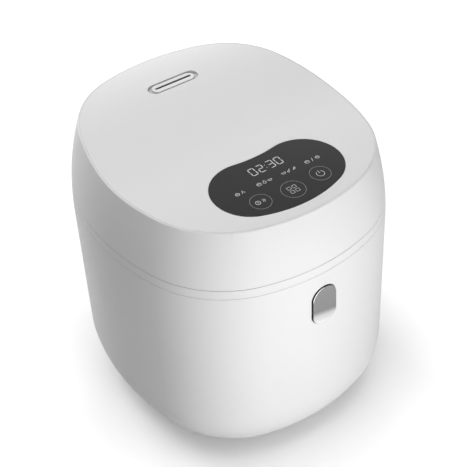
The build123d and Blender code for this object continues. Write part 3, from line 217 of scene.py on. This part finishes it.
# Panel print: places across and back from the panel's front edge, in millimetres
DISPLAY_BACK = 43.5
DIGIT_PLACES = ((-10.2, "0"), (-4.0, "2"), (3.9, "3"), (9.9, "0"))
COLON_SPREAD = 1.4
COLON_POINTS = 12
LABEL_BACK = 31.1
LABEL_PLACES = (-29.0, -10.3, 9.0, 28.0)
GLYPH_SIZE = 1.65
GLYPH_PITCH = 4.2
SQUARES_SIZE = 2.0 * GLYPH_SIZE
POWER_SIZE = 1.7 * GLYPH_SIZE
KEY_X = 23.4
KEY_BACK = 16.9
KEY_RING = 7.0
KEY_MIDDLE_BACK = 14.4
KEY_MIDDLE_RING = 8.1
RING_POINTS = 72

# Level marks in the pot, up from its underside, in millimetres
LEVEL_RADIUS = 74.0
LEVEL_START = 32.0
LEVEL_STEP = 18.0
LEVEL_LENGTH = 22.0
LEVEL_STROKE = 0.7
LEVEL_RUNS = 12
LEVEL_FIGURES = "1234"

# Places taken from the frame
pot_low, pot_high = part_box("inner_pot")
POT_Y = (pot_low.y + pot_high.y) / 2
button_low, button_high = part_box("release_button")
BUTTON_FOOT = (button_low.z + button_high.z) / 2 - BUTTON_TALL * MM / 2
panel_low, panel_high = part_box("control_panel")
PANEL_FRONT = panel_low.y / MM


# Helpers for objects and nodes
def add_object(name, data):
    made = bpy.data.objects.new(name, data)
    scene.collection.objects.link(made)
    return made


def feed(tree, socket, value):
    """Link a node's output to the socket, or set the socket to a plain value."""
    if isinstance(value, bpy.types.NodeSocket):
        tree.links.new(value, socket)
    else:
        socket.default_value = value


def node(tree, kind, inputs=None, **settings):
    """New node: its settings are made first, because they can change its sockets."""
    made = tree.nodes.new(kind)
    for name, value in settings.items():
        setattr(made, name, value)
    for name, value in (inputs or {}).items():
        feed(tree, made.inputs[name], value)
    return made


def calculate(tree, operation, *values):
    made = node(tree, "ShaderNodeMath", dict(enumerate(values)), operation=operation)
    return made.outputs["Value"]


def distance(tree, vector):
    made = node(tree, "ShaderNodeVectorMath", {0: vector}, operation="LENGTH")
    return made.outputs["Value"]


def remap(tree, value, before=(0.0, 1.0), after=(0.0, 1.0)):
    """Move a value from one range to another, held within it."""
    ends = {"From Min": before[0], "From Max": before[1], "To Min": after[0], "To Max": after[1]}
    return node(tree, "ShaderNodeMapRange", {"Value": value, **ends}).outputs["Result"]


def place(tree, stretch=(1.0, 1.0, 1.0)):
    coords = node(tree, "ShaderNodeTexCoord")
    scale = node(tree, "ShaderNodeMapping", {"Vector": coords.outputs["Object"], "Scale": stretch})
    return scale.outputs["Vector"]


def noise(tree, vector, scale, detail=3.0, roughness=0.5):
    made = node(
        tree,
        "ShaderNodeTexNoise",
        {"Vector": vector, "Scale": scale, "Detail": detail, "Roughness": roughness},
    )
    return made.outputs["Fac"]


def about(middle, share):
    return (middle * (1.0 - share), middle * (1.0 + share))


def grey(level):
    return (level, level, level, 1.0)


def rgba(colour):
    return (*colour, 1.0)


def shade(colour, factor):
    return rgba([min(1.0, c * factor) for c in colour])


def mix_colour(tree, factor, first, second):
    """Blend two colours. The node repeats its sockets for each type of data."""
    made = node(tree, "ShaderNodeMix", {"Factor": factor}, data_type="RGBA")
    sockets = {socket.identifier: socket for socket in (*made.inputs, *made.outputs)}
    feed(tree, sockets["A_Color"], first)
    feed(tree, sockets["B_Color"], second)
    return sockets["Result_Color"]


def drift_colour(tree, factor, colour, share):
    return mix_colour(tree, factor, *(shade(colour, end) for end in about(1.0, share)))


def tone_ramp(tree, value, tones):
    """Greys by value: tones holds pairs of a value from 0 to 1 and its grey."""
    made = node(tree, "ShaderNodeValToRGB", {"Fac": value})
    stops = made.color_ramp.elements
    for stop, (spot, tone) in zip(stops, (tones[0], tones[-1])):
        stop.position = spot
        stop.color = grey(tone)
    for spot, tone in tones[1:-1]:
        stops.new(spot).color = grey(tone)
    return made.outputs["Color"]


def blank_material(name):
    material = bpy.data.materials.new(name)
    material.use_nodes = True
    material.node_tree.nodes.clear()
    return material, material.node_tree


def start_material(name, metal=0.0):
    material, tree = blank_material(name)
    shader = node(tree, "ShaderNodeBsdfPrincipled", {"Metallic": metal})
    node(tree, "ShaderNodeOutputMaterial", {"Surface": shader.outputs["BSDF"]})
    return material, tree, shader


def dress(tree, shader, colour, rough, height, strength, depth):
    """Give the shader its colour, its roughness and a bump, whose depth is in millimetres."""
    bump = node(
        tree,
        "ShaderNodeBump",
        {"Height": height, "Strength": strength, "Distance": depth * MM},
    )
    feed(tree, shader.inputs["Base Color"], colour)
    feed(tree, shader.inputs["Roughness"], rough)
    feed(tree, shader.inputs["Normal"], bump.outputs["Normal"])


# Materials
def grained(
    name,
    colour,
    rough,
    grain,
    depth,
    tone=0.03,
    metal=0.0,
    specular=0.5,
    stretch=(1.0, 1.0, 1.0),
    seam=0.0,
):
    """Moulded, cast or drawn surface: faint tone drift, uneven gloss and a fine grain.
    A seam, in millimetres, is how far out of a narrow gap shade is painted into the tone."""
    material, tree, shader = start_material(name, metal)
    vector = place(tree, stretch)
    fine = noise(tree, vector, grain, detail=4.0, roughness=0.6)
    toned = drift_colour(tree, noise(tree, vector, DRIFT_SCALE, detail=2.0), colour, tone)
    # Painted shade: ambient occlusion darkens the colour in narrow gaps
    if seam:
        painted_seam_shade = node(tree, "ShaderNodeAmbientOcclusion", {"Color": toned, "Distance": seam * MM})
        toned = painted_seam_shade.outputs["Color"]
    gloss = remap(tree, fine, NOISE_RANGE, about(rough, GLOSS_DRIFT))
    dress(tree, shader, toned, gloss, fine, GRAIN_STRENGTH, depth)
    shader.inputs["Specular IOR Level"].default_value = specular
    return material


def coated(name):
    """Dark non-stick coating with pale flecks."""
    material, tree, shader = start_material(name)
    vector = place(tree)
    cells = node(tree, "ShaderNodeTexVoronoi", {"Vector": vector, "Scale": FLECK_SCALE})
    near = remap(tree, cells.outputs["Distance"], FLECK_EDGE, (1.0, 0.0))
    chosen = remap(tree, noise(tree, vector, FLECK_PATCH_SCALE), FLECK_PATCH_EDGE)
    flecks = calculate(tree, "MULTIPLY", near, chosen)
    toned = mix_colour(tree, flecks, rgba(COATING_COLOUR), rgba(FLECK_COLOUR))
    fine = noise(tree, vector, COATING_SCALE, detail=4.0)
    gloss = remap(tree, fine, NOISE_RANGE, COATING_ROUGH)
    dress(tree, shader, toned, gloss, fine, COATING_STRENGTH, COATING_DEPTH)
    return material


def plated_with_painted_light(name):
    """Plated button with painted light: a painted reflection, grey above the bend and shading to bright
    below it, a painted highlight on the rim at two corners, and painted shade on the sides."""
    material, tree, shader = start_material(name, metal=1.0)
    coords = node(tree, "ShaderNodeTexCoord")
    spot = node(tree, "ShaderNodeSeparateXYZ", {"Vector": coords.outputs["Object"]})
    facing = node(tree, "ShaderNodeSeparateXYZ", {"Vector": coords.outputs["Normal"]})
    # Painted reflection: the face is grey above the bend and bright below it, set by height along a
    # leaning line
    leaning = calculate(tree, "MULTIPLY_ADD", spot.outputs["X"], BEND_LEAN, spot.outputs["Z"])
    height = remap(tree, leaning, (BUTTON_FOOT, BUTTON_FOOT + BUTTON_TALL * MM))
    # Painted highlight: the rim is made bright where it faces up and left, or down and right
    highlight_corner = calculate(tree, "MULTIPLY", facing.outputs["X"], facing.outputs["Z"])
    painted_highlight = remap(tree, highlight_corner, PAINTED_HIGHLIGHT_TURN)
    # Painted shade: the sides, which face away from the front, are made near black
    side = remap(tree, facing.outputs["Y"], PAINTED_SIDE_SHADE_TURN)
    toned = mix_colour(tree, painted_highlight, tone_ramp(tree, height, BEND_PAINTED_REFLECTION), grey(BUTTON_PAINTED_HIGHLIGHT))
    toned = mix_colour(tree, side, toned, grey(BUTTON_SIDE_PAINTED_SHADE))
    lines = noise(tree, place(tree, BRUSH_STRETCH), BRUSH_SCALE, detail=2.0)
    gloss = remap(tree, lines, NOISE_RANGE, about(BUTTON_ROUGH, BUTTON_GLOSS_DRIFT))
    dress(tree, shader, toned, gloss, lines, BRUSH_STRENGTH, BRUSH_DEPTH)
    return material


def spun(name):
    """Spun sheet metal: fine rings about the pot's axis."""
    material, tree, shader = start_material(name, metal=1.0)
    coords = node(tree, "ShaderNodeTexCoord")
    centred = node(
        tree,
        "ShaderNodeMapping",
        {"Vector": coords.outputs["Object"], "Location": (0.0, -POT_Y, 0.0), "Scale": (1.0, 1.0, 0.0)},
    )
    radius = distance(tree, centred.outputs["Vector"])
    rings = node(
        tree,
        "ShaderNodeTexNoise",
        {"W": radius, "Scale": SPUN_SCALE, "Detail": 3.0},
        noise_dimensions="1D",
    )
    fine = rings.outputs["Fac"]
    toned = drift_colour(tree, fine, SPUN_COLOUR, SPUN_TONE)
    gloss = remap(tree, fine, NOISE_RANGE, about(SPUN_ROUGH, SPUN_GLOSS_DRIFT))
    dress(tree, shader, toned, gloss, fine, SPUN_STRENGTH, SPUN_DEPTH)
    return material


def laminate(name):
    """Circuit board: solder mask over faint tracks."""
    material, tree, shader = start_material(name)
    vector = place(tree)
    colours = {
        "Color1": rgba(MASK_COLOUR),
        "Color2": shade(MASK_COLOUR, MASK_SHADE),
        "Mortar": rgba(TRACK_COLOUR),
    }
    tracks = node(
        tree,
        "ShaderNodeTexBrick",
        {"Vector": vector, "Scale": TRACK_SCALE, "Mortar Size": TRACK_WIDTH, **colours},
    )
    gloss = remap(tree, noise(tree, vector, MASK_SCALE), NOISE_RANGE, MASK_ROUGH)
    dress(tree, shader, tracks.outputs["Color"], gloss, tracks.outputs["Fac"], TRACK_STRENGTH, TRACK_DEPTH)
    return material


MATERIALS = {slot: grained(slot, **finish) for slot, finish in GRAINED.items()}
MATERIALS["pot_coating"] = coated("pot_coating")
MATERIALS["button_chrome"] = plated_with_painted_light("button_chrome")
MATERIALS["lid_aluminium"] = spun("lid_aluminium")
MATERIALS["board_laminate"] = laminate("board_laminate")
PRINTS = {name: grained(name, **ink) for name, ink in INKS.items()}
# White plastic with painted shade in its seams
seam_shaded = grained("seam_shaded_plastic", seam=SEAM_SHADE_REACH, **WHITE)

for subpart in frame["record"]["subparts"]:
    name = subpart["node"]
    slots = frame["nodes"][name].data.materials
    slots.clear()
    slots.append(seam_shaded if name in SEAM_SHADED_NODES else MATERIALS[subpart["material_slot"]])


# Print: flat strokes in millimetres, laid on the surface that carries them
def surface_of(name):
    return BVHTree.FromObject(frame["nodes"][name], bpy.context.evaluated_depsgraph_get())


panel_surface = surface_of("control_panel")
pot_surface = surface_of("inner_pot")


def on_panel(x, y):
    start = Vector((x * MM, y * MM, panel_high.z + PRINT_DROP * MM))
    hit = panel_surface.ray_cast(start, -UP)
    return hit[0] + UP * PRINT_LIFT * MM


def on_pot(across, height):
    """A point on the inner wall, across being measured round it from the rear."""
    turn = across / LEVEL_RADIUS
    outward = Vector((math.sin(turn), math.cos(turn), 0.0))
    hit = pot_surface.ray_cast(Vector((0.0, POT_Y, pot_low.z + height * MM)), outward)
    return hit[0] - outward * PRINT_LIFT * MM


def arc(x, y, radius, start, end, count):
    turns = [math.radians(start + (end - start) * i / count) for i in range(count + 1)]
    return [(x + radius * math.cos(t), y + radius * math.sin(t)) for t in turns]


def oval(x, y, long, short, lean=0.0, count=20):
    """Closed ring of points, its long axis turned by lean."""
    turn = math.radians(lean)
    ring = []
    for i in range(count):
        t = 2 * math.pi * i / count
        a = long * math.cos(t)
        b = short * math.sin(t)
        across = a * math.cos(turn) - b * math.sin(turn)
        along = a * math.sin(turn) + b * math.cos(turn)
        ring.append((x + across, y + along))
    return ring


def ribbon(mesh, points, width, closed=False, lay=on_panel):
    """One stroke of even width along the points."""
    count = len(points)
    rows = []
    for i, point in enumerate(points):
        before = points[i - 1] if closed or i else point
        after = points[(i + 1) % count] if closed or i < count - 1 else point
        along = (Vector(after) - Vector(before)).normalized()
        side = Vector((-along.y, along.x)) * width / 2
        left = mesh.verts.new(lay(point[0] + side.x, point[1] + side.y))
        right = mesh.verts.new(lay(point[0] - side.x, point[1] - side.y))
        rows.append((left, right))
    pairs = list(zip(rows, rows[1:]))
    if closed:
        pairs.append((rows[-1], rows[0]))
    for first, second in pairs:
        mesh.faces.new((first[0], first[1], second[1], second[0]))


def patch(mesh, points, lay=on_panel):
    mesh.faces.new([mesh.verts.new(lay(x, y)) for x, y in points])


def finish_print(mesh, name, material, outward, body):
    """Turn the faces outward, thicken them into the surface and hang the piece on its body."""
    for face in mesh.faces:
        face.normal_update()
    bmesh.ops.reverse_faces(mesh, faces=[face for face in mesh.faces if face.normal.dot(outward) < 0])
    data = bpy.data.meshes.new(name)
    mesh.to_mesh(data)
    mesh.free()
    data.materials.append(material)
    made = add_object(name, data)
    thick = made.modifiers.new("thickness", "SOLIDIFY")
    thick.thickness = PRINT_DEPTH * MM
    thick.offset = -1.0
    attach(made, body)


# Digits of seven bars
def segment(mesh, x, y, length, upright, lay):
    """One pointed bar of a digit, centred on x, y."""
    half = length / 2
    point = DIGIT_STROKE / 2
    outline = [(-half, 0), (point - half, point), (half - point, point)]
    outline += [(half, 0), (half - point, -point), (point - half, -point)]
    if upright:
        outline = [(b, a) for a, b in reversed(outline)]
    patch(mesh, [(x + a, y + b) for a, b in outline], lay)


def digit(mesh, x, y, figure, lay=on_panel):
    wide = DIGIT_WIDTH / 2
    tall = DIGIT_HEIGHT / 2
    across = DIGIT_WIDTH - 2 * SEGMENT_GAP
    down = tall - 2 * SEGMENT_GAP
    spots = {
        "a": (0, tall, across, False),
        "b": (wide, tall / 2, down, True),
        "c": (wide, -tall / 2, down, True),
        "d": (0, -tall, across, False),
        "e": (-wide, -tall / 2, down, True),
        "f": (-wide, tall / 2, down, True),
        "g": (0, 0, across, False),
    }
    for key in SEGMENTS[figure]:
        dx, dy, length, upright = spots[key]
        segment(mesh, x + dx, y + dy, length, upright, lay)


# Display and touch keys
digits = bmesh.new()
display_y = PANEL_FRONT + DISPLAY_BACK
for x, figure in DIGIT_PLACES:
    digit(digits, x, display_y, figure)
for dy in (-COLON_SPREAD, COLON_SPREAD):
    patch(digits, oval(0.0, display_y + dy, DIGIT_STROKE / 2, DIGIT_STROKE / 2, count=COLON_POINTS))

rings = bmesh.new()
for x, y, radius in (
    (-KEY_X, KEY_BACK, KEY_RING),
    (KEY_X, KEY_BACK, KEY_RING),
    (0.0, KEY_MIDDLE_BACK, KEY_MIDDLE_RING),
):
    ribbon(rings, oval(x, PANEL_FRONT + y, radius, radius, count=RING_POINTS), RING_STROKE, True)

icons = bmesh.new()


# Icons: each reaches about 1 from its centre, times its size
def line(x, y, size, points, closed=False):
    ribbon(icons, [(x + a * size, y + b * size) for a, b in points], ICON_STROKE, closed)


def bowl(x, y, size):
    line(x, y, size, [(-1.0, 0.1), (1.0, 0.1)])
    line(x, y, size, arc(0, 0.1, 0.85, 180, 360, 18))


def full_bowl(x, y, size):
    bowl(x, y, size)
    line(x, y, size, arc(0, 0.1, 0.7, 12, 168, 14))


def grains(x, y, size):
    for a, b, lean in ((-0.5, -0.3, 60), (0.45, -0.35, 110), (0.0, 0.5, 85)):
        patch(icons, oval(x + a * size, y + b * size, 0.42 * size, 0.2 * size, lean, 12))


def covered_pot(x, y, size):
    line(x, y, size, [(-0.8, 0.15), (-0.75, -0.85), (0.75, -0.85), (0.8, 0.15)])
    line(x, y, size, [(-1.1, 0.15), (1.1, 0.15)])
    line(x, y, size, [(a, 0.15 + (b - 0.15) * 0.75) for a, b in arc(0, 0.15, 0.75, 0, 180, 14)])


def flame(x, y, size):
    edge = [(0.1, 1.0), (0.3, 0.5), (0.65, 0.05), (0.65, -0.5), (0.3, -0.9), (-0.3, -0.9)]
    edge += [(-0.65, -0.5), (-0.6, 0.0), (-0.3, 0.2), (-0.1, 0.5)]
    line(x, y, size, edge, True)


def spoon(x, y, size):
    line(x, y, size, oval(-0.4, -0.45, 0.5, 0.36, 45), True)
    line(x, y, size, [(0.0, -0.05), (0.8, 0.8)])


def leaf(x, y, size):
    line(x, y, size, arc(-0.55, 0.55, 1.25, -80, -10, 12))
    line(x, y, size, arc(0.75, -0.75, 1.25, 100, 170, 12))
    line(x, y, size, [(-0.9, -0.9), (0.3, 0.3)])


def slash(x, y, size):
    line(x, y, size, [(-0.35, -0.95), (0.35, 0.95)])


def clock(x, y, size):
    line(x, y, size, oval(0.0, 0.0, 1.0, 1.0, count=36), True)
    line(x, y, size, [(0.0, 0.62), (0.0, 0.0), (0.45, -0.25)])


def forward(x, y, size):
    for step in (-0.5, 0.2):
        line(x, y, size, [(step, 0.75), (step + 0.6, 0.0), (step, -0.75)])


def squares(x, y, size):
    for a, b in CORNERS:
        line(x, y, size, [(0.6 * a + 0.38 * c, 0.6 * b + 0.38 * d) for c, d in CORNERS], True)


def power(x, y, size):
    line(x, y, size, arc(0, -0.1, 0.95, 125, 415, 40))
    line(x, y, size, [(0.0, 1.1), (0.0, 0.1)])


def glyph_row(x, y, glyphs):
    start = x - (len(glyphs) - 1) * GLYPH_PITCH / 2
    for i, glyph in enumerate(glyphs):
        glyph(start + i * GLYPH_PITCH, y, GLYPH_SIZE)


LABEL_GLYPHS = (
    (full_bowl, grains),
    (covered_pot, flame, bowl),
    (bowl, spoon, leaf),
    (covered_pot, slash, full_bowl),
)
for x, glyphs in zip(LABEL_PLACES, LABEL_GLYPHS):
    glyph_row(x, PANEL_FRONT + LABEL_BACK, glyphs)
glyph_row(-KEY_X, PANEL_FRONT + KEY_BACK, (clock, forward))
squares(0.0, PANEL_FRONT + KEY_MIDDLE_BACK, SQUARES_SIZE)
power(KEY_X, PANEL_FRONT + KEY_BACK, POWER_SIZE)

finish_print(digits, "display_digits", PRINTS["digit_painted_glow"], UP, "lid")
finish_print(rings, "key_rings", PRINTS["ring_print"], UP, "lid")
finish_print(icons, "panel_icons", PRINTS["light_print"], UP, "lid")


# Level marks on the pot's inner wall, facing the user
levels = bmesh.new()


def level_line(length, height):
    points = [(length * (k / LEVEL_RUNS - 0.5), height) for k in range(LEVEL_RUNS + 1)]
    ribbon(levels, points, LEVEL_STROKE, lay=on_pot)


for i, figure in enumerate(LEVEL_FIGURES):
    height = LEVEL_START + i * LEVEL_STEP
    level_line(LEVEL_LENGTH, height)
    digit(levels, LEVEL_LENGTH / 2 + DIGIT_WIDTH, height, figure, on_pot)
    level_line(LEVEL_LENGTH / 2, height + LEVEL_STEP / 2)
finish_print(levels, "pot_levels", PRINTS["light_print"], -BACK, "pot")


# Springs: each is a copy of its frame part, hung on the base, with the frame part hidden
def shortening(name, spring):
    made = add_object(name, frame["nodes"][spring].data.copy())
    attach(made, "base")
    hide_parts(spring)
    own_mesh(made)


shortening("button_coil", "button_spring")
shortening("sensor_coil", "sensor_spring")


# Floor and light
def seen_directly(tree):
    """1 for rays from the camera, also by way of a mirror or glass, and 0 for rays that light."""
    path = node(tree, "ShaderNodeLightPath")
    total = path.outputs["Is Camera Ray"]
    for name in ("Is Glossy Ray", "Is Transmission Ray"):
        total = calculate(tree, "MAXIMUM", total, path.outputs[name])
    return total


def floor_material(name):
    """Paper that looks pale and lights little, with a painted shadow: its glow grows with distance and is
    dimmer in contact.
    """
    material, tree = blank_material(name)
    shown = seen_directly(tree)
    fine = noise(tree, place(tree), PAPER_SCALE)
    pale = remap(tree, fine, NOISE_RANGE, (FLOOR_PAPER - PAPER_DRIFT, FLOOR_PAPER + PAPER_DRIFT))
    colour = mix_colour(tree, shown, grey(FLOOR_ALBEDO), pale)
    paper = node(tree, "ShaderNodeBsdfDiffuse", {"Color": colour})
    coords = node(tree, "ShaderNodeTexCoord")
    share = calculate(tree, "DIVIDE", distance(tree, coords.outputs["Object"]), FLOOR_FAR)
    level = tone_ramp(tree, share, [(far / FLOOR_FAR, strength) for far, strength in FLOOR_GLOW_AND_PAINTED_SHADOW])
    # Painted contact shadow: ambient occlusion dims the glow where the floor meets the object
    open_air = node(tree, "ShaderNodeAmbientOcclusion", {"Distance": CONTACT_SHADOW_REACH})
    painted_contact_shadow = remap(tree, open_air.outputs["AO"], after=(1.0 - CONTACT_SHADE, 1.0))
    near = calculate(tree, "MULTIPLY", level, painted_contact_shadow)
    glow = node(tree, "ShaderNodeEmission", {"Strength": calculate(tree, "MULTIPLY", shown, near)})
    both = node(tree, "ShaderNodeAddShader", {0: paper.outputs["BSDF"], 1: glow.outputs["Emission"]})
    node(tree, "ShaderNodeOutputMaterial", {"Surface": both.outputs["Shader"]})
    return material


floor_mesh = bpy.data.meshes.new("floor")
reach = FLOOR_SIZE / 2
floor_mesh.from_pydata([(a * reach, b * reach, 0) for a, b in CORNERS], [], [(0, 1, 2, 3)])
floor_mesh.materials.append(floor_material("studio_floor"))
floor = add_object("floor", floor_mesh)

world = bpy.data.worlds.new("studio")
world.use_nodes = True
sky = world.node_tree
sky.nodes.clear()
sky_strength = remap(sky, seen_directly(sky), after=(WORLD_LIGHT, 1.0))
backdrop = node(sky, "ShaderNodeBackground", {"Color": grey(1.0), "Strength": sky_strength})
node(sky, "ShaderNodeOutputWorld", {"Surface": backdrop.outputs["Background"]})
scene.world = world


def softbox(name, spot, side, watts, mirrored):
    lamp = bpy.data.lights.new(name, "AREA")
    lamp.shape = "SQUARE"
    lamp.size = side
    lamp.energy = watts
    made = add_object(name, lamp)
    made.location = spot
    made.rotation_euler = (Vector(spot) - Vector(LAMP_AIM)).to_track_quat("Z", "Y").to_euler()
    made.visible_camera = False
    made.visible_glossy = mirrored


for name, lamp in LAMPS.items():
    softbox(name, **lamp)


# Camera
def camera_axes():
    """The camera's right, its up, and the way back from what it looks at."""
    turn = math.radians(CAMERA_AZIMUTH)
    lift = math.radians(CAMERA_ELEVATION)
    roll = math.radians(CAMERA_ROLL)
    back = Vector((math.sin(turn) * math.cos(lift), -math.cos(turn) * math.cos(lift), math.sin(lift)))
    level = Vector((math.cos(turn), math.sin(turn), 0.0))
    above = back.cross(level)
    right = level * math.cos(roll) + above * math.sin(roll)
    up = above * math.cos(roll) - level * math.sin(roll)
    return right, up, back


right, up, back = camera_axes()
aim = Vector((0.0, POT_Y / MM, CAMERA_AIM_HEIGHT)) + right * CAMERA_AIM_RIGHT + up * CAMERA_AIM_UP
eye = (aim + back * CAMERA_DISTANCE) * MM
optics = bpy.data.cameras.new("camera")
optics.lens = CAMERA_LENS
optics.sensor_width = CAMERA_SENSOR
camera = add_object("camera", optics)
camera.matrix_world = Matrix.Translation(eye) @ Matrix((right, up, back)).transposed().to_4x4()
scene.camera = camera
